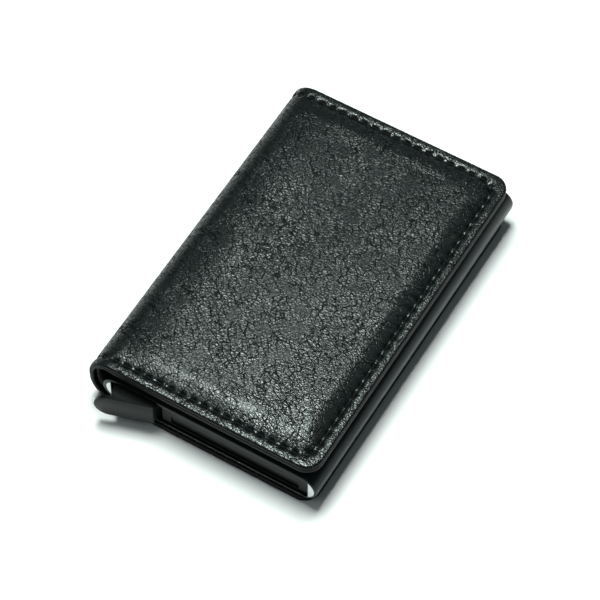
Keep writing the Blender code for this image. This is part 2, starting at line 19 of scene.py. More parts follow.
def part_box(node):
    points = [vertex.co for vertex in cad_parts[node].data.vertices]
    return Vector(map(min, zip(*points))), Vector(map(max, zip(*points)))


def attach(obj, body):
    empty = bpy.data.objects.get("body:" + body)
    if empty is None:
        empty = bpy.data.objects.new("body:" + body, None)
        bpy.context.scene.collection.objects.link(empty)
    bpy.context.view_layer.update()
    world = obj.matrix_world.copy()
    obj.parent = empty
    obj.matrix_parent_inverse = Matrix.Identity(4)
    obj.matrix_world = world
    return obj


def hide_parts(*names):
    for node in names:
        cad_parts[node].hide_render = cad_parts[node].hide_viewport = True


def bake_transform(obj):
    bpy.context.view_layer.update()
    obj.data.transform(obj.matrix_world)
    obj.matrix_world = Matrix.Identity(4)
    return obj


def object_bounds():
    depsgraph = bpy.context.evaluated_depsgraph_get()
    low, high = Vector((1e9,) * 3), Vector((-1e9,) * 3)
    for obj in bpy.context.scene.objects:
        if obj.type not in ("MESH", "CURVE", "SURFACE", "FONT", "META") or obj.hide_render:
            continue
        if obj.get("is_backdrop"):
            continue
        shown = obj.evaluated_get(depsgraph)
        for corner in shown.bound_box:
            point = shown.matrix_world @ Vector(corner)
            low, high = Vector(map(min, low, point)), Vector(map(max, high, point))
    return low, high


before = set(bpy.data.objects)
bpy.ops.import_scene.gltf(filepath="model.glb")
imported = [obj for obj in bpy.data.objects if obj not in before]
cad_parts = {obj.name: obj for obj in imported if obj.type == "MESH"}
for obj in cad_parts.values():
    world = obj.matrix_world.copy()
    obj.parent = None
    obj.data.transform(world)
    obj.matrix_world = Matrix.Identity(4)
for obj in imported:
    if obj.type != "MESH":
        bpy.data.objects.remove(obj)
cad_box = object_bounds()
MM = 0.001

# %% [markdown]
# ## The camera
#
# The photograph looks down on the wallet from in front and to the right, with a long lens. A camera like
# that can be placed by turning round a point in the middle of the object, which keeps three plain
# numbers to adjust: the angle round it, the angle above the table, and the distance.

# %% Camera
CAMERA_ROUND = math.radians(30.79)
CAMERA_ABOVE = math.radians(56.65)
CAMERA_AWAY = 736.9 * MM
CAMERA_LENS = 175.13
SENSOR_WIDTH = 36.0
AIM = Vector((1.08, -3.85, 8.0)) * MM

sight = Vector((
    -math.sin(CAMERA_ROUND) * math.cos(CAMERA_ABOVE),
    math.cos(CAMERA_ROUND) * math.cos(CAMERA_ABOVE),
    -math.sin(CAMERA_ABOVE),
))
camera_data = bpy.data.cameras.new("camera")
camera_data.lens = CAMERA_LENS
camera_data.sensor_width = SENSOR_WIDTH
camera_data.clip_start = 0.01
camera = bpy.data.objects.new("camera", camera_data)
camera.location = AIM - sight * CAMERA_AWAY
camera.rotation_euler = sight.to_track_quat("-Z", "Y").to_euler()
bpy.context.collection.objects.link(camera)
bpy.context.scene.camera = camera
bpy.context.scene.view_settings.view_transform = "Standard"
print("camera at", [round(value, 3) for value in camera.location])

# %% [markdown]
# ## Writing finishes as sums
#
# A finish is a small program: patterns are scaled, mixed and turned into colour, roughness and height.
# In the node editor each sum is a Math node. Here one small class stands for a socket, and Python's own
# signs add the Math nodes, so a finish can be read as arithmetic. Every other node comes from one
# method, which takes the node's type, its settings, and what goes into its sockets.

# %% Sockets that take part in sums
class Wire:
    """An output socket of a finish."""

    def __init__(self, finish, socket):
        self.finish = finish
        self.socket = socket

    def __add__(self, other):
        return self.finish.sum("ADD", self, other)

    def __sub__(self, other):
        return self.finish.sum("SUBTRACT", self, other)

    def __rsub__(self, other):
        return self.finish.sum("SUBTRACT", other, self)

    def __mul__(self, other):
        return self.finish.sum("MULTIPLY", self, other)

    __radd__ = __add__
    __rmul__ = __mul__


class Finish:
    """A material whose shader's plain values are set on its own sockets."""

    def __init__(self, name, colour, roughness, **sockets):
        self.material = bpy.data.materials.new(name)
        self.material.use_nodes = True
        self.tree = self.material.node_tree
        self.shader = self.tree.nodes["Principled BSDF"]
        self.set("Base Color", (*colour, 1.0))
        self.set("Roughness", roughness)
        for socket, value in sockets.items():
            self.set(socket.replace("_", " "), value)

    def set(self, socket, value):
        """Give one of the shader's sockets a value or a wire."""
        self.fill(self.shader.inputs[socket], value)

    def fill(self, socket, value):
        """Link a wire to a socket, or write a plain value on it."""
        if isinstance(value, Wire):
            self.tree.links.new(value.socket, socket)
        else:
            socket.default_value = value

    def node(self, kind, settings, sockets, out=0):
        """Add a node, set it up, fill its sockets, and hand back one of its outputs."""
        node = self.tree.nodes.new("ShaderNode" + kind)
        for name, value in settings.items():
            setattr(node, name, value)
        for name, value in sockets.items():
            self.fill(node.inputs[name], value)
        return Wire(self, node.outputs[out])

    def sum(self, operation, first, second):
        return self.node("Math", {"operation": operation}, {0: first, 1: second})

    def step(self, value, low, high, start=0.0, end=1.0):
        """Ease from start to end as the value goes from low to high."""
        return self.node("MapRange", {"interpolation_type": "SMOOTHSTEP"},
                         {0: value, 1: low, 2: high, 3: start, 4: end})

    def noise(self, spot, scale, detail=2.0, out="Fac"):
        return self.node("TexNoise", {}, {"Vector": spot, "Scale": scale, "Detail": detail}, out)

    def cracks(self, spot, scale):
        """Distance to the nearest border between cells, 0 on the border."""
        return self.node("TexVoronoi", {"feature": "DISTANCE_TO_EDGE"},
                         {"Vector": spot, "Scale": scale}, "Distance")

    def cells(self, spot, scale):
        """Distance to the nearest cell's middle."""
        return self.node("TexVoronoi", {}, {"Vector": spot, "Scale": scale}, "Distance")

    def push(self, spot, amount, scale):
        """Bend a pattern's coordinates with soft noise, so that it doesn't look drawn with a ruler."""
        soft = self.noise(spot, scale, 2.0, "Color")
        centred = self.node("VectorMath", {"operation": "SUBTRACT"}, {0: soft, 1: (0.5, 0.5, 0.5)})
        return self.node("VectorMath", {"operation": "MULTIPLY_ADD"},
                         {0: centred, 1: (amount, amount, amount), 2: spot})

    def stretch(self, spot, turn, length, width):
        """Turn a pattern, and draw its cells out to a length and a width."""
        return self.node("Mapping", {"vector_type": "TEXTURE"}, {
            "Vector": spot, "Rotation": (0.0, 0.0, turn), "Scale": (length, width, 1.0)})

    def shade(self, factor, first, second):
        """Mix two colours."""
        mixed = self.node("Mix", {"data_type": "RGBA"},
                          {0: factor, 6: (*first, 1.0), 7: (*second, 1.0)}, 2)
        self.set("Base Color", mixed)

    def relief(self, height, distance):
        """Turn a height into small bumps."""
        self.set("Normal", self.node("Bump", {}, {"Height": height, "Distance": distance}))

    def paint_shade_under(self, gloss, colour):
        """Paint shade: a matte dark colour without any gloss shows where the factor is 0."""
        matte = self.node("BsdfPrincipled", {}, {
            "Base Color": (*colour, 1.0), "Roughness": 0.9, "Specular IOR Level": 0.0})
        glossy = Wire(self, self.shader.outputs[0])
        mixed = self.node("MixShader", {}, {0: gloss, 1: matte, 2: glossy})
        self.fill(self.tree.nodes["Material Output"].inputs["Surface"], mixed)

    def place(self):
        """The spot on the object in metres."""
        return self.node("TexCoord", {}, {}, "Object")

    def cut(self):
        """The spot on the flat cut of a sheet in millimetres."""
        return self.node("Attribute", {"attribute_name": "cut"}, {}, "Vector")


print("finishes can be written as sums")

# %% [markdown]
# ## Grained leather
#
# The cover's leather has irregular pebbles a little under a millimetre across, with thin dark cracks
# between them. Longer wrinkles run through the pebbles where the leather is worn, and a few folds divide
# it into plates. Cell noise gives all of these: its distance to the cell border is zero in a crack. Soft
# noise bends the cells first, so that no line is straight. A crack is too deep to mirror a lamp, so
# painted shade, a matte black without gloss, takes the place of the glossy leather there, and in the pits
# round the stitches. The pattern reads the flat cut of the sheet, in millimetres, so it follows the
# leather round the folds.

# %% Leather finish
PEBBLES = (math.radians(-14.0), 1.0, 0.68)
WRINKLES = (math.radians(-16.0), 3.0, 1.5)
PLATE_SCALE = 0.15
GRIT_SCALE = 1.7
PEBBLE_CRACK = 0.14
GRIT_CRACK = 0.16
WRINKLE_CRACK = 0.08
FOLD_CRACK = 0.024
GRAIN_DEPTH = 0.037 * MM
# Painted shade: the matte near-black without gloss that the cracks and the stitch pits get
CRACK_PAINTED_SHADE = (0.003, 0.004, 0.004)


def grained_leather():
    leather = Finish("grained_leather", (0.008, 0.010, 0.010), 0.30, Specular_IOR_Level=0.56,
                     Specular_Tint=(0.92, 1.0, 0.98, 1.0))
    cut = leather.cut()
    crease = leather.node("Attribute", {"attribute_name": "crease"}, {}, "Fac")
    # Painted shade in the stitch pits, read from the sheet's pit layer
    pit_shade = leather.node("Attribute", {"attribute_name": "pit_shade"}, {}, "Fac")

    # Where the leather is worn: along the borders of the plates and in the soft creases
    drift = leather.push(cut, 3.0, 0.06)
    patch = leather.step(leather.noise(drift, 0.11, 3.0), 0.35, 0.65)
    plates = leather.cracks(leather.push(drift, 2.4, 0.25), PLATE_SCALE)
    worn = leather.step(plates, 0.0, 0.40, 1.0, 0.0) * (patch * 0.5 + 0.5) + crease * 0.5

    # Each of these is 1 on the leather and falls to 0 in its cracks
    pebbles = leather.cracks(leather.stretch(leather.push(drift, 0.45, 0.7), *PEBBLES), 1.0)
    pebble = 1.0 - (1.0 - leather.step(pebbles, 0.0, PEBBLE_CRACK)) * (worn * 0.25 + 0.75)
    round_top = leather.step(pebbles, 0.0, 0.45)
    grit = leather.step(leather.cracks(leather.push(cut, 0.3, 2.0), GRIT_SCALE), 0.0, GRIT_CRACK)
    wrinkles = leather.cracks(leather.stretch(leather.push(drift, 0.9, 0.35), *WRINKLES), 1.0)
    wrinkle = 1.0 - ((1.0 - leather.step(wrinkles, 0.0, WRINKLE_CRACK))
                     * leather.step(worn, 0.1, 0.4))
    fold = 1.0 - (1.0 - leather.step(plates, 0.0, FOLD_CRACK)) * (patch * 0.6 + 0.4)

    leather.relief((pebble * 0.3 + round_top * 0.8) * (worn * 0.6 + 0.4) + grit * 0.2
                   + wrinkle * 0.9 + fold * 0.9, GRAIN_DEPTH)
    leather.set("Roughness", 0.34 - pebble * 0.09)
    # The product below is the share of glossy leather. The rest is a matte near-black: painted shade in
    # the cracks, the worn-in wrinkles, the folds and the stitch pits, and less sheen where the leather is
    # not worn
    leather.paint_shade_under((pebble * 0.9 + 0.1) * (grit * 0.3 + 0.7) * (worn * 0.35 + 0.65)
                        * (wrinkle * 0.92 + 0.08) * (fold * 0.9 + 0.1)
                        * leather.step(pit_shade, 0.05, 0.5, 1.0, 0.03), CRACK_PAINTED_SHADE)
    return leather.material


leather_finish = grained_leather()
print("made", leather_finish.name)

# %% [markdown]
# ## Edge paint, lining and thread
#
# The cut edges of the cover are sealed with thick black paint, rubbed smooth. The lining is a thinner,
# smoother leather with a fine grain. The thread is black polyester, twisted from strands, so that it
# carries fine slanted ridges.

# %% Edge paint, lining and thread finishes
STRAND_SLANT = math.radians(38.0)


def edge_paint():
    paint = Finish("edge_paint", (0.004, 0.005, 0.005), 0.4, Specular_IOR_Level=0.09)
    spot = paint.place()
    ripple = paint.noise(spot, 420.0, 2.0)
    grain = paint.noise(spot, 5200.0, 2.0)
    paint.relief(ripple * 0.8 + grain * 0.12, 0.12 * MM)
    paint.shade(ripple, (0.002, 0.003, 0.003), (0.005, 0.006, 0.006))
    paint.set("Roughness", 0.34 + grain * 0.14)
    return paint.material


def lining_leather():
    lining = Finish("lining_leather", (0.018, 0.019, 0.020), 0.5)
    cut = lining.cut()
    grain = lining.step(lining.cracks(lining.push(cut, 0.4, 1.6), 2.8), 0.0, 0.3)
    cloud = lining.noise(cut, 0.11, 3.0)
    lining.relief(grain * 0.6 + cloud * 0.6, 0.06 * MM)
    lining.shade(cloud * grain, (0.011, 0.012, 0.013), (0.028, 0.030, 0.031))
    lining.set("Roughness", 0.62 - grain * 0.12)
    return lining.material


def twisted_thread():
    thread = Finish("twisted_thread", (0.006, 0.007, 0.007), 0.6, Specular_IOR_Level=0.2)
    turned = thread.node("Mapping", {}, {
        "Vector": thread.cut(), "Rotation": (0.0, 0.0, STRAND_SLANT)})
    strands = thread.node("TexWave", {}, {"Vector": turned, "Scale": 1.6, "Distortion": 0.6})
    thread.relief(strands, 0.06 * MM)
    thread.shade(strands, (0.002, 0.003, 0.003), (0.009, 0.010, 0.010))
    thread.set("Roughness", 0.62 - strands * 0.16)
    return thread.material


paint_finish = edge_paint()
lining_finish = lining_leather()
thread_finish = twisted_thread()
print("made", paint_finish.name, lining_finish.name, thread_finish.name)

# %% [markdown]
# ## Metal and plastic
#
# The case is extruded aluminium, blasted and dyed black, so it has a very fine even grain and faint draw
# lines along its length. Its ends are sawn after dyeing and show bright metal. The cap and the lever are
# moulded plastic with the fine matte texture of a spark-eroded mould, and the lever's is a little
# glossier, from thumbs. The pin and the spring are ground steel. Fine noise gives each its grain, and a
# Mapping node draws the noise out into lines where a tool has left them.

# %% Metal and plastic finishes
def anodised():
    metal = Finish("anodised_aluminium", (0.022, 0.025, 0.025), 0.34, Metallic=1.0)
    spot = metal.place()
    drawn = metal.node("Mapping", {}, {"Vector": spot, "Scale": (1.0, 0.02, 1.0)})
    lines = metal.noise(drawn, 9000.0, 2.0)
    blast = metal.noise(spot, 11000.0, 2.0)
    metal.relief(lines * 0.5 + blast * 0.5, 0.012 * MM)
    metal.shade(metal.noise(spot, 90.0, 3.0), (0.017, 0.020, 0.020), (0.026, 0.029, 0.029))
    metal.set("Roughness", 0.30 + blast * 0.12)
    return metal.material


def sawn_metal():
    metal = Finish("sawn_aluminium", (0.74, 0.76, 0.76), 0.3, Metallic=1.0)
    spot = metal.place()
    sawn = metal.node("Mapping", {}, {"Vector": spot, "Scale": (1.0, 1.0, 0.05)})
    lines = metal.noise(sawn, 9000.0, 3.0)
    metal.relief(lines, 0.02 * MM)
    metal.shade(lines, (0.60, 0.62, 0.62), (0.82, 0.84, 0.84))
    metal.set("Roughness", 0.24 + lines * 0.2)
    return metal.material


def moulded_plastic(name, dark, light, roughness, **settings):
    plastic = Finish(name, light, roughness, **settings)
    spot = plastic.place()
    texture = plastic.noise(spot, 6500.0, 3.0)
    cloud = plastic.noise(spot, 160.0, 3.0)
    plastic.relief(texture, 0.03 * MM)
    plastic.shade(cloud * 0.6 + texture * 0.4, dark, light)
    plastic.set("Roughness", roughness - 0.06 + texture * 0.14)
    return plastic.material


def ground_steel():
    steel = Finish("ground_steel", (0.56, 0.56, 0.57), 0.3, Metallic=1.0)
    grain = steel.noise(steel.place(), 8000.0, 3.0)
    steel.relief(grain, 0.01 * MM)
    steel.shade(grain, (0.46, 0.46, 0.47), (0.64, 0.64, 0.65))
    steel.set("Roughness", 0.22 + grain * 0.18)
    return steel.material


anodised_finish = anodised()
sawn_finish = sawn_metal()
PLASTIC_DARK = (0.002, 0.003, 0.003)
cap_finish = moulded_plastic("cap_plastic", PLASTIC_DARK, (0.005, 0.006, 0.006), 0.40,
                             Specular_IOR_Level=0.15)
lever_finish = moulded_plastic("lever_plastic", PLASTIC_DARK, (0.004, 0.005, 0.005), 0.33,
                               Specular_IOR_Level=0.04, Coat_Weight=0.28, Coat_Roughness=0.08)
steel_finish = ground_steel()
for finish in (anodised_finish, sawn_finish, cap_finish, lever_finish, steel_finish):
    print("made", finish.name)

# %% [markdown]
# ## Felt, foam and board
#
# These sit inside, and show when the cover is opened or taken apart. Felt is a mat of fibres with a soft
# sheen, foam has small open cells, and the board is pressed from grey-brown fibres.

# %% Felt, foam and board finishes
def felt_cloth():
    felt = Finish("felt", (0.020, 0.020, 0.022), 0.95, Sheen_Weight=0.5)
    spot = felt.place()
    fibres = felt.noise(felt.push(spot, 0.0006, 1500.0), 3800.0, 5.0)
    felt.relief(fibres, 0.25 * MM)
    felt.shade(fibres, (0.010, 0.010, 0.011), (0.034, 0.034, 0.037))
    felt.set("Roughness", 0.86 + fibres * 0.12)
    return felt.material


def foam(name, dark, light):
    pad = Finish(name, light, 0.95)
    spot = pad.place()
    wall = pad.step(pad.cells(spot, 2600.0), 0.15, 0.7)
    pad.relief(1.0 - wall, 0.12 * MM)
    # Painted shade: the middles of the cells are darker, standing in for the shade in open pores
    pad.shade(1.0 - wall, light, dark)
    pad.set("Roughness", 0.88 + wall * 0.1)
    return pad.material


def fibre_board():
    board = Finish("fibre_board", (0.24, 0.20, 0.15), 0.85)
    spot = board.place()
    fibres = board.noise(board.push(spot, 0.002, 300.0), 1400.0, 6.0)
    board.relief(fibres, 0.05 * MM)
    board.shade(fibres, (0.15, 0.12, 0.09), (0.33, 0.28, 0.21))
    board.set("Roughness", 0.78 + fibres * 0.14)
    return board.material


felt_finish = felt_cloth()
padding_finish = foam("padding_foam", (0.030, 0.030, 0.033), (0.075, 0.075, 0.080))
adhesive_finish = foam("adhesive_foam", (0.012, 0.012, 0.013), (0.034, 0.034, 0.036))
board_finish = fibre_board()
print("made", felt_finish.name, padding_finish.name, adhesive_finish.name, board_finish.name)

# %% [markdown]
# ## The cover's lines
#
# Seen from its end, the cover runs from the open edge of the back panel, round a low bend and a tighter
# top bend, to the open edge of the flap. It is cut flat and then folded, and that is also the easy way
# to model it: a sheet is shaped on the table, where its distance from the edge is simple to measure, and
# one function then carries each of its points round the fold. Distances along the cut are counted from
# the middle of the spine, and they grow towards the flap or towards the back panel.

# %% Cover sizes and the fold
cover_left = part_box("spine_leather")[0].x
cover_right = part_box("flap_leather")[1].x
back_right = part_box("back_leather")[1].x
half_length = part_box("flap_leather")[1].y
LOW_RADIUS = 8.0 * MM
TOP_RADIUS = 6.5 * MM
COVER_TOP = 16.7 * MM
LEATHER = 1.1 * MM
LINING_DEPTH = 1.4 * MM
LAMINATE = 2.0 * MM
LOW_CENTRE = (cover_left + LOW_RADIUS, LOW_RADIUS)
TOP_CENTRE = (cover_left + TOP_RADIUS, COVER_TOP - TOP_RADIUS)
SPINE_MIDDLE = (LOW_CENTRE[1] + TOP_CENTRE[1]) / 2
QUARTER = math.pi / 2


class Fold:
    """One half of the cover's line, from the middle of the spine to an open edge."""

    def __init__(self, radius, centre, up, right):
        self.radius = radius
        self.centre = centre
        self.up = up
        self.straight = abs(centre[1] - SPINE_MIDDLE)
        self.bend_end = self.straight + radius * QUARTER
        self.length = self.bend_end + right - centre[0]

    def carry(self, spot):
        """Where a point goes that lies along the cut, along the wallet, and out of the leather."""
        along, length, out = spot
        if along < self.straight:
            return Vector((cover_left - out, length, SPINE_MIDDLE + self.up * along))
        if along < self.bend_end:
            angle = (along - self.straight) / self.radius
            reach = self.radius + out
            return Vector((self.centre[0] - reach * math.cos(angle), length,
                           self.centre[1] + self.up * reach * math.sin(angle)))
        x = self.centre[0] + along - self.bend_end
        return Vector((x, length, self.centre[1] + self.up * (self.radius + out)))


front_fold = Fold(TOP_RADIUS, TOP_CENTRE, 1.0, cover_right)
back_fold = Fold(LOW_RADIUS, LOW_CENTRE, -1.0, back_right)
print(f"flat cut {1000 * (front_fold.length + back_fold.length):.1f} x {2000 * half_length:.1f} mm")

# %% [markdown]
# ## A sheet with a border that follows its edge
#
# The stitch line, the padded crown and the rounded rim all run at a fixed distance from the open edge,
# also round its two corners. So the sheet's middle is a plain grid with two rounded corners, and its
# border is grown outwards from the grid, one row at a time, with the rows close together where the
# surface turns quickly. Each vertex keeps its distance from the edge, and that distance shapes it later.

# %% Grow a sheet
BORDER = 8.8 * MM
OUTER_CORNER = 4.5 * MM
INNER_CORNER = 5.0 * MM
TINY = 1e-7


def eased(value, low, high):
    """0 below low, 1 above high, and a soft step between them."""
    part = min(max((value - low) / (high - low), 0.0), 1.0)
    return part * part * (3.0 - 2.0 * part)


def grid_cut(reach, half, spacing, corner):
    """A flat grid from the middle of the spine to reach, with its two far corners rounded."""
    bm = bmesh.new()
    columns = max(round(reach / spacing), 2)
    rows = max(round(2 * half / spacing), 2)
    bmesh.ops.create_grid(bm, x_segments=columns, y_segments=rows, size=1.0)
    for vert in bm.verts:
        vert.co = ((vert.co.x + 1.0) / 2.0 * reach, vert.co.y * half, 0.0)
        across = (vert.co.x - reach + corner) / corner
        along = (abs(vert.co.y) - half + corner) / corner
        if across > 0.0 and along > 0.0:
            side = math.copysign(1.0, vert.co.y)
            vert.co.x = reach - corner + corner * across * math.sqrt(1.0 - along * along / 2.0)
            bowed = along * math.sqrt(1.0 - across * across / 2.0)
            vert.co.y = side * (half - corner + corner * bowed)
    return bm


def grow_border(bm, reach, half, rows, tag):
    """Grow the grid's open border outwards, one row for each distance from the edge."""
    for vert in bm.verts:
        vert[tag] = BORDER
    inner = BORDER + INNER_CORNER
    home = {}
    ring = [edge for edge in bm.edges
            if edge.is_boundary and max(vert.co.x for vert in edge.verts) > TINY]
    for vert in {vert for edge in ring for vert in edge.verts}:
        home[vert] = vert.co.copy()
    for distance in rows:
        grown = bmesh.ops.extrude_edge_only(bm, edges=ring)["geom"]
        fresh = [item for item in grown if isinstance(item, bmesh.types.BMVert)]
        young = set(fresh)
        part = distance / BORDER
        corner = OUTER_CORNER + (INNER_CORNER - OUTER_CORNER) * part
        inset = distance + corner
        for vert in fresh:
            old = next(edge.other_vert(vert) for edge in vert.link_edges
                       if edge.other_vert(vert) not in young)
            home[vert] = start = home[old]
            side = math.copysign(1.0, start.y)
            across = max(start.x - (reach - inner), 0.0) / INNER_CORNER
            along = max(abs(start.y) - (half - inner), 0.0) / INNER_CORNER
            x = min(start.x / (reach - inner), 1.0) * (reach - inset) + corner * across
            y = min(abs(start.y) / (half - inner), 1.0) * (half - inset) + corner * along
            vert.co = (x, side * y, 0.0)
            vert[tag] = distance
        ring = [edge for edge in grown if isinstance(edge, bmesh.types.BMEdge)
                and all(vert in young for vert in edge.verts)]


def finish_piece(bm, name, body, finishes, replaced=()):
    """Turn a bmesh into a named piece with its finishes in slots, riding on a body when one is named."""
    mesh = bpy.data.meshes.new(name)
    bm.to_mesh(mesh)
    bm.free()
    mesh.shade_smooth()
    for finish in finishes:
        mesh.materials.append(finish)
    piece = bpy.data.objects.new(name, mesh)
    bpy.context.collection.objects.link(piece)
    if isinstance(body, str):
        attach(piece, body)
    else:
        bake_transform(piece)
    if replaced:
        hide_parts(*replaced)
    triangles = sum(len(face.vertices) - 2 for face in mesh.polygons)
    print(f"{name}: {triangles} triangles")
    return piece


# Each fold's two bodies, and where its bend starts and ends on the cover's outer surface; a piece given
# these is not tied to a body and stays where it is made
FRONT_BLEND = ("spine", "flap", (cover_left, 0.0, TOP_CENTRE[1]), (TOP_CENTRE[0], 0.0, COVER_TOP))
BACK_BLEND = ("root", "spine", (LOW_CENTRE[0], 0.0, 0.0), (cover_left, 0.0, LOW_CENTRE[1]))
print("sheets have a border of", round(BORDER * 1000, 1), "mm")

# %% [markdown]
# ## How the leather lies
#
# From the open edge inwards the leather first turns over a small rim, then pillows a little, dips where
# the thread pulls it down, and swells over the foam to the crown. The crown is not quite flat: hand and
# pocket have left long soft creases in it. All of this is a height out of the flat cut, given by the
# distance from the edge and by the place on the cut.

# %% Shape of the leather
STITCH_LINE = 2.9 * MM
STITCH_PITCH = 3.2 * MM
CROWN_START = 3.3 * MM
CROWN_SHOULDER = 4.5 * MM
CROWN_HEIGHT = 1.3 * MM
CROWN_FULLNESS = 1.35
SPINE_SHOULDER = (-6.0 * MM, 9.5 * MM)
WAVE_HEIGHT = 0.13 * MM
CREASE_DEPTH = 0.16 * MM
PIT_WIDTH = 0.72 * MM
PIT_DEPTH = 0.5 * MM
GROOVE_WIDTH = 0.5 * MM
GROOVE_DEPTH = 0.14 * MM
ROLL_HEIGHT = 0.14 * MM
RIM = 0.45 * MM
BORDER_ROWS = [row * MM for row in (
    7.9, 7.1, 6.4, 5.8, 5.3, 4.8, 4.4, 4.05, 3.75, 3.5, 3.3, 3.12, 2.96, 2.8, 2.64, 2.46, 2.26, 2.0,
    1.7, 1.4, 1.1, 0.82, 0.6, 0.45, 0.32, 0.21, 0.12, 0.055, 0.014, 0.0)]


def rim_drop(distance):
    """How far the rounded rim has dropped at this distance from the edge."""
    inside = max(RIM - distance, 0.0)
    return RIM - math.sqrt(RIM * RIM - inside * inside)


def crown(along, distance):
    """The swell over the foam, 0 at the stitches and at the fold."""
    from_fold = along - front_fold.bend_end
    edge = min(max((distance - CROWN_START) / CROWN_SHOULDER, 0.0), 1.0)
    part = edge * eased(from_fold, *SPINE_SHOULDER)
    return CROWN_HEIGHT * (1.0 - (1.0 - part) ** CROWN_FULLNESS)


def crease_line(along, length):
    """1 along a crease and 0 away from it."""
    spot = Vector((along * 30.0, length * 26.0, 5.3))
    bend = noise.noise(spot * 0.9) * 1.4
    line = noise.noise(Vector((spot.x * 0.7 + spot.y * 0.8 + bend,
                               spot.y * 0.5 - spot.x * 0.3, 9.1)))
    faded = eased(noise.noise(spot * 1.1 + Vector((0.0, 0.0, 7.0))), -0.15, 0.25)
    return max(1.0 - abs(line) * 4.0, 0.0) ** 2 * faded


def creases(along, length):
    """Height of the soft waves and creases on the crown."""
    spot = Vector((along * 38.0, length * 30.0, 3.7))
    waves = noise.noise(spot) + 0.6 * noise.noise(spot * 2.3)
    return WAVE_HEIGHT * waves - CREASE_DEPTH * crease_line(along, length)


def stitch_pit(along_seam, distance):
    """1 where a stitch presses the leather down most, 0 away from the stitches."""
    from_line = (distance - STITCH_LINE) / PIT_WIDTH
    pressed = 0.5 - 0.5 * math.cos(2.0 * math.pi * along_seam / STITCH_PITCH)
    return pressed ** 2 * math.exp(-from_line * from_line)


def seam(along_seam, distance):
    """Height of the stitched border: a soft roll with a groove where the thread runs."""
    from_line = (distance - STITCH_LINE) / GROOVE_WIDTH
    groove = GROOVE_DEPTH * math.exp(-from_line * from_line)
    roll = ROLL_HEIGHT * math.sin(math.pi * min(distance / STITCH_LINE, 1.0))
    return roll - groove - PIT_DEPTH * stitch_pit(along_seam, distance)


def along_open_edge(fold, along, length):
    """How far round the open edge a point lies, for spacing the stitches."""
    corner = fold.length - along
    side = half_length - abs(length)
    return along if side < corner else length + STITCH_PITCH / 2


print(f"stitches every {STITCH_PITCH * 1000:.1f} mm, {STITCH_LINE * 1000:.1f} mm from the edge")

# %% [markdown]
# ## The cover's leather
#
# The fold at the top and the fold at the bottom are two joints, and a piece can bend across only one of
# them. The cover is made as two sheets that meet in the middle of the spine, one for each fold; both are
# built as the folds lie at rest and are not tied to a body. Each sheet is extruded down to its
# thickness, its open edge is rounded and painted, and then it is carried round its fold. The edges where
# the two halves meet are marked sharp, so that the shading doesn't turn inwards there and the halves
# look like one piece.

# %% Front and back leather
SHEET_SPACING = 0.5 * MM
BACK_SPACING = 0.8 * MM
SPINE_EDGE = 1.35 * MM
FLAP_EDGE = 2.7 * MM
EDGE_CUTS = 9
EDGE_GROOVE = 0.3 * MM
LOBES_MEET = 0.4
BACK_WAVES = 0.35


def edge_thickness(fold, along):
    """Thickness at the painted edge: thin at the spine, all the layers on the panels."""
    panel = FLAP_EDGE if fold is front_fold else LAMINATE
    return SPINE_EDGE + (panel - SPINE_EDGE) * eased(along, 3.0 * MM, 17.0 * MM)


def groove_edge(bm, fold, tag, below):
    """Round the painted edge into two lobes, with a groove where the leather and the lining meet."""
    wall = [edge for edge in bm.edges if edge.verts[0][tag] == edge.verts[1][tag] == 0.0
            and (edge.verts[0] in below) != (edge.verts[1] in below)
            and edge.verts[0].co.x > 10 * TINY]
    cuts = bmesh.ops.subdivide_edges(bm, edges=wall, cuts=EDGE_CUTS)["geom_inner"]
    straight = half_length - OUTER_CORNER
    for vert in (item for item in cuts if isinstance(item, bmesh.types.BMVert)):
        along, length, out = vert.co
        core = Vector((min(along, fold.length - OUTER_CORNER),
                       min(max(length, -straight), straight), out))
        height = edge_thickness(fold, along) - 2.0 * RIM
        level = (-RIM - out) / height
        lobe = level / LOBES_MEET if level < LOBES_MEET else (1.0 - level) / (1.0 - LOBES_MEET)
        deepest = min(EDGE_GROOVE, height / 4.0)
        depth = deepest * (1.0 - math.sqrt(1.0 - min(lobe, 1.0) ** 2))
        vert.co += (core - vert.co).normalized() * depth


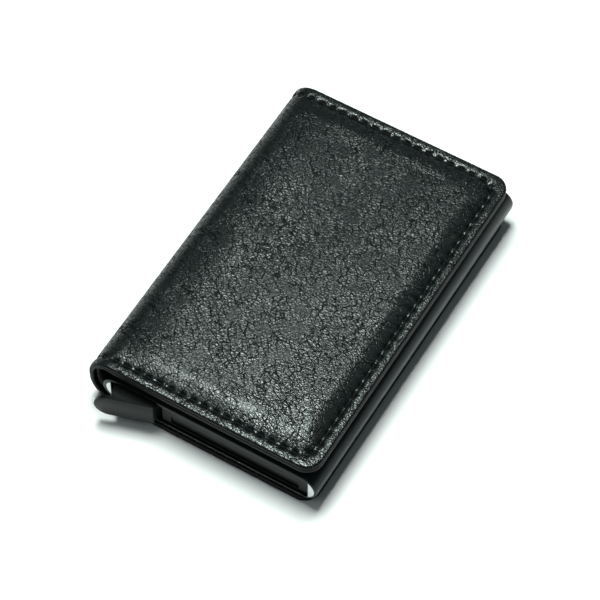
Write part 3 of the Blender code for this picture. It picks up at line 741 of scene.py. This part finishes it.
def leather_sheet(name, fold, crowned, spacing, body, replaced):
    """One half of the cover's leather, cut, padded, stitched down, painted and folded."""
    reach = fold.length
    bm = grid_cut(reach - BORDER, half_length - BORDER, spacing, INNER_CORNER)
    tag = bm.verts.layers.float.new("from_edge")
    grow_border(bm, reach, half_length, BORDER_ROWS, tag)
    cut = bm.verts.layers.float_vector.new("cut")
    line = bm.verts.layers.float.new("crease")
    # The pit layer is painted shade: it darkens the leather's finish in the pits round the stitches
    pit_shade = bm.verts.layers.float.new("pit_shade")
    for vert in bm.verts:
        vert[cut] = (fold.up * vert.co.x / MM, vert.co.y / MM, 0.0)
        vert[line] = crease_line(vert.co.x, vert.co.y) if crowned else 0.0
        vert[pit_shade] = stitch_pit(along_open_edge(fold, vert.co.x, vert.co.y), vert[tag])
    grown = bmesh.ops.extrude_face_region(bm, geom=list(bm.faces))["geom"]
    below = {item for item in grown if isinstance(item, bmesh.types.BMVert)}
    for vert in bm.verts:
        along, length, distance = vert.co.x, vert.co.y, vert[tag]
        swell = crown(along, distance) if crowned else 0.0
        height = swell + seam(along_open_edge(fold, along, length), distance)
        if vert in below:
            thick = edge_thickness(fold, along)
            roll = eased(distance, 0.8 * MM, 1.2 * MM)
            out = -thick + rim_drop(distance)
            out += (swell - LEATHER - out) * roll
        else:
            soft = (swell / CROWN_HEIGHT if crowned else BACK_WAVES
                    * eased(distance, 4.0 * MM, 9.0 * MM) * eased(along, 0.0, 8.0 * MM))
            out = height - rim_drop(distance) + creases(along, length) * soft
        vert.co.z = out
    groove_edge(bm, fold, tag, below)
    for face in bm.faces:
        painted = min(vert[tag] for vert in face.verts) < RIM * 0.6
        inside = all(vert in below for vert in face.verts)
        face.material_index = 1 if painted else 2 if inside else 0
    for edge in bm.edges:
        edge.smooth = max(vert.co.x for vert in edge.verts) > 100 * TINY
    for vert in bm.verts:
        vert.co = fold.carry(vert.co)
    bmesh.ops.recalc_face_normals(bm, faces=bm.faces)
    finishes = (leather_finish, paint_finish, lining_finish)
    piece = finish_piece(bm, name, body, finishes, replaced)


leather_sheet("cover_front", front_fold, True, SHEET_SPACING, FRONT_BLEND,
              ("flap_leather", "spine_leather"))
leather_sheet("cover_back", back_fold, False, BACK_SPACING, BACK_BLEND,
              ("back_leather",))

# %% [markdown]
# ## The lining
#
# The lining is glued to the leather's inside and ends under the painted edge. It needs no crown and no
# stitch groove, so a coarser sheet of the same kind, set deeper and kept inside the rim, is enough.

# %% Lining sheets
LINING_INSET = 1.3 * MM
LINING_SPACING = 1.4 * MM
LINING_GRAIN = 40.0


def lining_sheet(name, fold, body, replaced):
    """One half of the lining, from the middle of the spine to just inside the painted edge."""
    reach = fold.length - LINING_INSET
    bm = grid_cut(reach, half_length - LINING_INSET, LINING_SPACING, OUTER_CORNER - LINING_INSET)
    cut = bm.verts.layers.float_vector.new("cut")
    for vert in bm.verts:
        vert[cut] = (fold.up * vert.co.x / MM, vert.co.y / MM, LINING_GRAIN)
    grown = bmesh.ops.extrude_face_region(bm, geom=list(bm.faces))["geom"]
    inner = {item for item in grown if isinstance(item, bmesh.types.BMVert)}
    for vert in bm.verts:
        vert.co.z = -LAMINATE if vert in inner else -LINING_DEPTH
        vert.co = fold.carry(vert.co)
    bmesh.ops.recalc_face_normals(bm, faces=bm.faces)
    piece = finish_piece(bm, name, body, (lining_finish,), replaced)


lining_sheet("lining_front", front_fold, FRONT_BLEND,
             ("flap_lining", "spine_lining"))
lining_sheet("lining_back", back_fold, BACK_BLEND, ("back_lining",))

# %% [markdown]
# ## The stitches
#
# A row of lock stitches holds all the layers together, all the way round the open edge and across the
# spine. Inside the flap the same row shows again, on the lining and on the slot panels. One stitch is a
# short bead of thread that dives into a hole at each end. It is a stretched sphere with few faces,
# because there are about two hundred of them, and each one is laid on the flat cut and carried round
# the fold like the leather.

# %% Stitches
THREAD = 0.24 * MM
STITCH_LENGTH = 2.1 * MM
STITCH_CORNER = 2.2 * MM
STITCH_SLANT = math.radians(5.0)
STITCH_DIVE = 0.34 * MM
STITCH_SINK = 0.36 * MM


def stitch_spots(fold, start):
    """Middles and directions of the stitches round one open edge, on the flat cut."""
    reach = fold.length - STITCH_LINE
    half = half_length - STITCH_LINE
    spots = []
    place = start
    while place < reach - STITCH_CORNER:
        spots += [(place, -half, 0.0), (place, half, 0.0)]
        place += STITCH_PITCH
    count = math.ceil((half - STITCH_CORNER) / STITCH_PITCH)
    for index in range(-count, count + 1):
        length = index * STITCH_PITCH
        if abs(length) < half - STITCH_CORNER:
            spots.append((reach, length, QUARTER))
    return spots


def inner_face(fold, along, length):
    """How deep the innermost layer lies: a slot panel where there is one, else the lining."""
    spot = fold.carry((along, length, 0.0))
    for node in ("card_slot_outer", "card_slot_inner"):
        low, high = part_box(node)
        if low.x < spot.x < high.x and low.y < spot.y < high.y:
            return low.z - spot.z
    return -edge_thickness(fold, along)


def lay_stitches(name, fold, sides, body):
    """Beads of thread round one half of the cover, on its outside and where asked on its inside."""
    bm = bmesh.new()
    cut = bm.verts.layers.float_vector.new("cut")
    for side in sides:
        for along, length, turn in stitch_spots(fold, STITCH_PITCH / 2):
            made = bmesh.ops.create_uvsphere(bm, u_segments=8, v_segments=6, radius=1.0)["verts"]
            slant = Matrix.Rotation(turn + STITCH_SLANT, 3, "Z")
            for vert in made:
                vert[cut] = (vert.co.z * 1.4, math.atan2(vert.co.y, vert.co.x) * 0.25, 0.0)
                run = vert.co.z
                across = vert.co.y * THREAD
                up = vert.co.x * THREAD
                dive = STITCH_DIVE * run ** 4
                spot = slant @ Vector((run * STITCH_LENGTH / 2, across, 0.0))
                if side == "outside":
                    out = up - dive - STITCH_SINK
                else:
                    out = inner_face(fold, along, length) - up + dive
                vert.co = fold.carry((along + spot.x, length + spot.y, out))
    bmesh.ops.recalc_face_normals(bm, faces=bm.faces)
    finish_piece(bm, name, body, (thread_finish,))


lay_stitches("stitches_front", front_fold, ("outside", "inside"), FRONT_BLEND)
lay_stitches("stitches_back", back_fold, ("outside",), BACK_BLEND)

# %% [markdown]
# ## The card slots
#
# Two stepped slots are sewn to the inside of the flap. Each is a panel of thin leather with a thumb
# notch in its open edge. The frame's own panels have the right outline, so each copy only needs its
# triangles merged and its edges softened.

# %% Softened copies of the frame's parts
SHARP_ANGLE = math.radians(32.0)
FLAT_ANGLE = math.radians(1.0)
SLOT_EDGE = 0.12 * MM


def merged_copy(node):
    """A part of the frame as one clean mesh, with its flat faces whole again."""
    bm = bmesh.new()
    bm.from_mesh(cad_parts[node].data)
    bmesh.ops.remove_doubles(bm, verts=bm.verts, dist=1e-6)
    bmesh.ops.dissolve_limit(bm, angle_limit=FLAT_ANGLE, verts=bm.verts, edges=bm.edges)
    return bm


def soften(piece, width):
    """Round every real edge of a piece a little."""
    bevel = piece.modifiers.new("soft_edges", "BEVEL")
    bevel.width = width
    bevel.segments = 3
    bevel.limit_method = "ANGLE"
    bevel.angle_limit = SHARP_ANGLE


def slot_panel(node, grain):
    """A slot panel that notes where each vertex lies on its flat cut, for the leather's pattern."""
    bm = merged_copy(node)
    cut = bm.verts.layers.float_vector.new("cut")
    for vert in bm.verts:
        vert[cut] = (vert.co.x / MM, vert.co.y / MM, grain)
    piece = finish_piece(bm, node + "_panel", "flap", (lining_finish,), (node,))
    soften(piece, SLOT_EDGE)


slot_panel("card_slot_inner", 80.0)
slot_panel("card_slot_outer", 120.0)

# %% [markdown]
# ## The card case
#
# The case is a flat tube with half-round sides. Its outline is a rectangle whose corners are rounded with
# a bevel, and the same outline, drawn in a little, makes the small chamfer at each end. Bridging the
# outlines one after another gives the wall, outside and inside. Each end is then filled round two
# crescents, which lie in the thick sides and show the bare metal where the saw has gone.

# %% Card case
case_low, case_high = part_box("case_shell")
CASE_CHAMFER = 0.3 * MM
CHAMFER_TURN = 0.3 * CASE_CHAMFER
CASE_SIDE_FLAT = 0.3 * MM
CASE_SIDE = 2.4 * MM
CASE_WALL = 0.8 * MM
CAVITY_CORNER = 0.8 * MM
BARE_INSET = 0.6 * MM
SPINE_SIDE_INSET = 1.0 * MM
BARE_FROM_CHAMBER = 0.1 * MM


def outline(bm, inset_x, inset_z, radius, y):
    """A rounded rectangle across the case, as a loop of edges."""
    left, right = case_low.x + inset_x, case_high.x - inset_x
    low, high = case_low.z + inset_z, case_high.z - inset_z
    corners = [bm.verts.new((x, y, z))
               for x, z in ((left, low), (right, low), (right, high), (left, high))]
    bm.faces.new(corners)
    bmesh.ops.bevel(bm, geom=corners, offset=radius, offset_type="OFFSET", segments=14,
                    profile=0.5, affect="VERTICES", clamp_overlap=True, material=-1)
    face = next(iter(bm.faces))
    edges = list(face.edges)
    bmesh.ops.delete(bm, geom=[face], context="FACES_ONLY")
    return edges


def bare_crescent(bm, side, y):
    """The bare metal in the thick side of a sawn end: a disc cut off along the card chamber."""
    round_side = (case_high.z - case_low.z) / 2
    edge = case_high.x if side > 0 else case_low.x
    centre = Vector((edge - side * round_side, y, (case_low.z + case_high.z) / 2))
    upright = Matrix.Translation(centre) @ Matrix.Rotation(QUARTER, 4, "X")
    inset = BARE_INSET if side > 0 else SPINE_SIDE_INSET
    made = bmesh.ops.create_circle(bm, cap_ends=True, radius=round_side - inset, segments=48,
                                   matrix=upright)["verts"]
    chamber = Vector((edge - side * (CASE_SIDE - BARE_FROM_CHAMBER), y, 0.0))
    disc = made + [edge for edge in bm.edges if all(vert in made for vert in edge.verts)]
    disc += [face for face in bm.faces if all(vert in made for vert in face.verts)]
    kept = bmesh.ops.bisect_plane(bm, geom=disc, dist=TINY, plane_co=chamber,
                                  plane_no=(side, 0.0, 0.0), clear_inner=True)["geom"]
    return next(item for item in kept if isinstance(item, bmesh.types.BMFace))


def card_case():
    """The tube: outlines from the near end to the far end and back inside, bridged and capped."""
    bm = bmesh.new()
    round_side = (case_high.z - case_low.z - CASE_SIDE_FLAT) / 2
    near, far = case_low.y, case_high.y
    stations = (
        (CASE_CHAMFER, CASE_CHAMFER, round_side - CASE_CHAMFER, near),
        (CHAMFER_TURN, CHAMFER_TURN, round_side - CHAMFER_TURN, near + CHAMFER_TURN),
        (0.0, 0.0, round_side, near + CASE_CHAMFER),
        (0.0, 0.0, round_side, far - CASE_CHAMFER),
        (CHAMFER_TURN, CHAMFER_TURN, round_side - CHAMFER_TURN, far - CHAMFER_TURN),
        (CASE_CHAMFER, CASE_CHAMFER, round_side - CASE_CHAMFER, far),
        (CASE_SIDE, CASE_WALL, CAVITY_CORNER, far),
        (CASE_SIDE, CASE_WALL, CAVITY_CORNER, near),
    )
    loops = [outline(bm, *station) for station in stations]
    for first, second in zip(loops[:5] + loops[6:7], loops[1:6] + loops[7:]):
        bmesh.ops.bridge_loops(bm, edges=first + second)
    bare = []
    for outer, inner, y in ((loops[0], loops[7], near), (loops[5], loops[6], far)):
        crescents = [bare_crescent(bm, side, y) for side in (-1.0, 1.0)]
        bare += crescents
        rims = [edge for face in crescents for edge in face.edges]
        bmesh.ops.triangle_fill(bm, edges=outer + inner + rims, use_beauty=True,
                                use_dissolve=False, normal=(0.0, 1.0, 0.0))
    for face in bare:
        face.material_index = 1
    bmesh.ops.recalc_face_normals(bm, faces=bm.faces)
    piece = finish_piece(bm, "case_tube", "root", (anodised_finish, sawn_finish),
                         ("case_shell",))
    piece.data.set_sharp_from_angle(angle=SHARP_ANGLE)


card_case()

# %% [markdown]
# ## The cap and the lever
#
# Both are moulded, so their edges are never knife sharp. The frame has their true shapes, with the bore,
# the ears and the stepped card pusher. Copies of them with softened edges catch the light along each
# edge, as moulded plastic does. The pin, the spring and the board keep the frame's own shapes and only
# get their finishes.

# %% Cap and lever
for node, body, finish, width in (("end_cap", "root", cap_finish, 0.12 * MM),
                                  ("lever", "lever", lever_finish, 0.20 * MM)):
    piece = finish_piece(merged_copy(node), node + "_moulding", body, (finish,), (node,))
    piece.data.set_sharp_from_angle(angle=SHARP_ANGLE)
    soften(piece, width)

for node, finish in (("pivot_pin", steel_finish), ("return_spring", steel_finish),
                     ("flap_board", board_finish)):
    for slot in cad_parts[node].material_slots:
        slot.material = finish
    print(node, "keeps the frame's shape")

# %% [markdown]
# ## Soft pieces inside
#
# The felts are strips cut from a sheet. The foam under the flap's leather and the foam that holds the
# case are thin pads. All four are at most half a millimetre thick and cut with a knife, so their rims are
# square, and only their faces are a little uneven. So in a copy of the frame's flat pad each long edge
# is cut in four, and noise moves the faces.

# %% Felts and foam pads
LUMPS_PER_METRE = 700.0


def pad_piece(name, node, body, finish, longest, swell):
    """A soft copy of a flat pad: edges longer than asked are cut in four, and its faces are uneven."""
    bm = merged_copy(node)
    low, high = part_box(node)
    bmesh.ops.triangulate(bm, faces=bm.faces)
    long_edges = [edge for edge in bm.edges if edge.calc_length() > longest]
    bmesh.ops.subdivide_edges(bm, edges=long_edges, cuts=3, use_grid_fill=True)
    for vert in bm.verts:
        wave = noise.noise(vert.co * LUMPS_PER_METRE)
        vert.co.z += swell * wave * (1.0 if vert.co.z > (low.z + high.z) / 2 else -1.0)
    piece = finish_piece(bm, name, body, (finish,), (node,))


pad_piece("upper_felt_strip", "upper_felt", "root", felt_finish, 2.0 * MM, 0.03 * MM)
pad_piece("lower_felt_strip", "lower_felt", "root", felt_finish, 2.0 * MM, 0.03 * MM)
pad_piece("adhesive_foam_pad", "case_adhesive_pad", "root", adhesive_finish, 8.0 * MM, 0.02 * MM)
pad_piece("flap_foam", "flap_padding", "flap", padding_finish, 8.0 * MM, 0.02 * MM)

# %% [markdown]
# ## Table and backdrop
#
# The wallet lies on polished white board. The board is a wide disc whose rim sweeps up all round, so that
# there is no horizon. Its white comes from its own colour and from a glow that only the camera, mirrors
# and glass see, so the lamps need not be turned up to bleach it. The glow leaves out a rounded rectangle
# under and beside the wallet, so the board keeps the wallet's shadow, and that unlit patch is a painted
# shadow too: it makes the shadow there darker and wider than the lamps alone would.

# %% Table
TABLE_RADIUS = 2.6
SWEEP = 0.5
SWEEP_STEPS = 8
# Painted shadow: the rounded patch round the wallet that the glow leaves out, and the glow's strength
# beyond it
SHADOW_PATCH_OFFSET = (-0.15, 0.13, 0.0)
SHADOW_PATCH_HALF_WIDTH, SHADOW_PATCH_HALF_LENGTH = 0.0327, 0.053
GLOW = 0.52


def white_board():
    """White lacquer with a glow that leaves out the wallet's surroundings, as a painted shadow."""
    board = Finish("white_board", (0.78, 0.80, 0.80), 0.14, IOR=1.6)
    seen = sum(board.node("LightPath", {}, {}, ray)
               for ray in ("Is Camera Ray", "Is Glossy Ray", "Is Transmission Ray"))
    scaled = board.node("Mapping", {}, {
        "Vector": board.place(), "Location": SHADOW_PATCH_OFFSET,
        "Scale": (1.0 / SHADOW_PATCH_HALF_WIDTH, 1.0 / SHADOW_PATCH_HALF_LENGTH, 0.0)})
    across = board.node("SeparateXYZ", {}, {0: scaled}, "X")
    along = board.node("SeparateXYZ", {}, {0: scaled}, "Y")
    # Painted shadow: the glow is 0 in the patch round the wallet and rises to full strength beyond it
    past_shadow_patch = across * across * (across * across) + along * along * (along * along)
    glow = board.step(past_shadow_patch, 2.8, 9.0, 0.0, GLOW)
    board.set("Emission Color", board.node("Mix", {"data_type": "RGBA"}, {
        0: glow, 6: (0.0, 0.0, 0.0, 1.0), 7: (0.96, 1.0, 1.0, 1.0)}, 2))
    board.set("Emission Strength", seen)
    return board.material


def white_table():
    """A disc whose rim is extruded out and up, a step at a time."""
    bm = bmesh.new()
    bmesh.ops.create_circle(bm, cap_ends=True, radius=TABLE_RADIUS, segments=96)
    rim = [edge for edge in bm.edges if edge.is_boundary]
    for step in range(1, SWEEP_STEPS + 1):
        angle = step * QUARTER / SWEEP_STEPS
        radius = TABLE_RADIUS + SWEEP * math.sin(angle)
        grown = bmesh.ops.extrude_edge_only(bm, edges=rim)["geom"]
        fresh = {item for item in grown if isinstance(item, bmesh.types.BMVert)}
        for vert in fresh:
            flat = Vector((vert.co.x, vert.co.y, 0.0)).normalized() * radius
            vert.co = (flat.x, flat.y, SWEEP - SWEEP * math.cos(angle))
        rim = [edge for edge in grown if isinstance(edge, bmesh.types.BMEdge)
               and all(vert in fresh for vert in edge.verts)]
    bmesh.ops.recalc_face_normals(bm, faces=bm.faces)
    mesh = bpy.data.meshes.new("table")
    bm.to_mesh(mesh)
    bm.free()
    mesh.shade_smooth()
    mesh.materials.append(white_board())
    table = bpy.data.objects.new("table", mesh)
    bpy.context.collection.objects.link(table)
    table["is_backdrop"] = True


white_table()
print("table made")

# %% [markdown]
# ## Lamps
#
# A soft lamp hangs behind and to the left, facing down, near where the leather mirrors it into the
# camera. That gives the broad sheen over the flap, which fades towards the spine and the far end. A wide
# dim panel above fills the shadows, a narrow strip in front draws light along the near edges, and the
# room itself is a dull grey, which is what the darker leather mirrors.

# %% Lamps and room
def soft_lamp(name, place, aim, width, length, watts, colour):
    """A rectangular lamp that faces a point."""
    data = bpy.data.lights.new(name, "AREA")
    data.shape = "RECTANGLE"
    data.size = width
    data.size_y = length
    data.energy = watts
    data.color = colour
    lamp = bpy.data.objects.new(name, data)
    lamp.location = place
    lamp.rotation_euler = (Vector(aim) - Vector(place)).to_track_quat("-Z", "Y").to_euler()
    bpy.context.collection.objects.link(lamp)


WALLET = (0.0, 0.0, 0.0)
UNDER_KEY = (-0.108, 0.090, 0.0)
KEY_WHITE = (0.94, 1.0, 0.97)
FILL_WHITE = (0.93, 1.0, 0.99)
soft_lamp("key_lamp", (-0.108, 0.090, 0.70), UNDER_KEY, 0.22, 0.31, 8.7, KEY_WHITE)
soft_lamp("overhead_panel", (0.1, -0.1, 1.05), WALLET, 1.0, 1.0, 0.4, FILL_WHITE)
soft_lamp("edge_strip", (-0.22, -0.50, 0.75), WALLET, 0.5, 0.08, 0.7, FILL_WHITE)

world = bpy.data.worlds.new("room")
world.use_nodes = True
backdrop = world.node_tree.nodes["Background"]
backdrop.inputs["Color"].default_value = (0.07, 0.085, 0.085, 1.0)
bpy.context.scene.world = world
print("lamps on")

# %% Sizes and finish
dressed_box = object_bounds()
for title, (low, high) in (("frame", cad_box), ("dressed", dressed_box)):
    print(title, [round(1000 * (b - a), 2) for a, b in zip(low, high)], "mm")
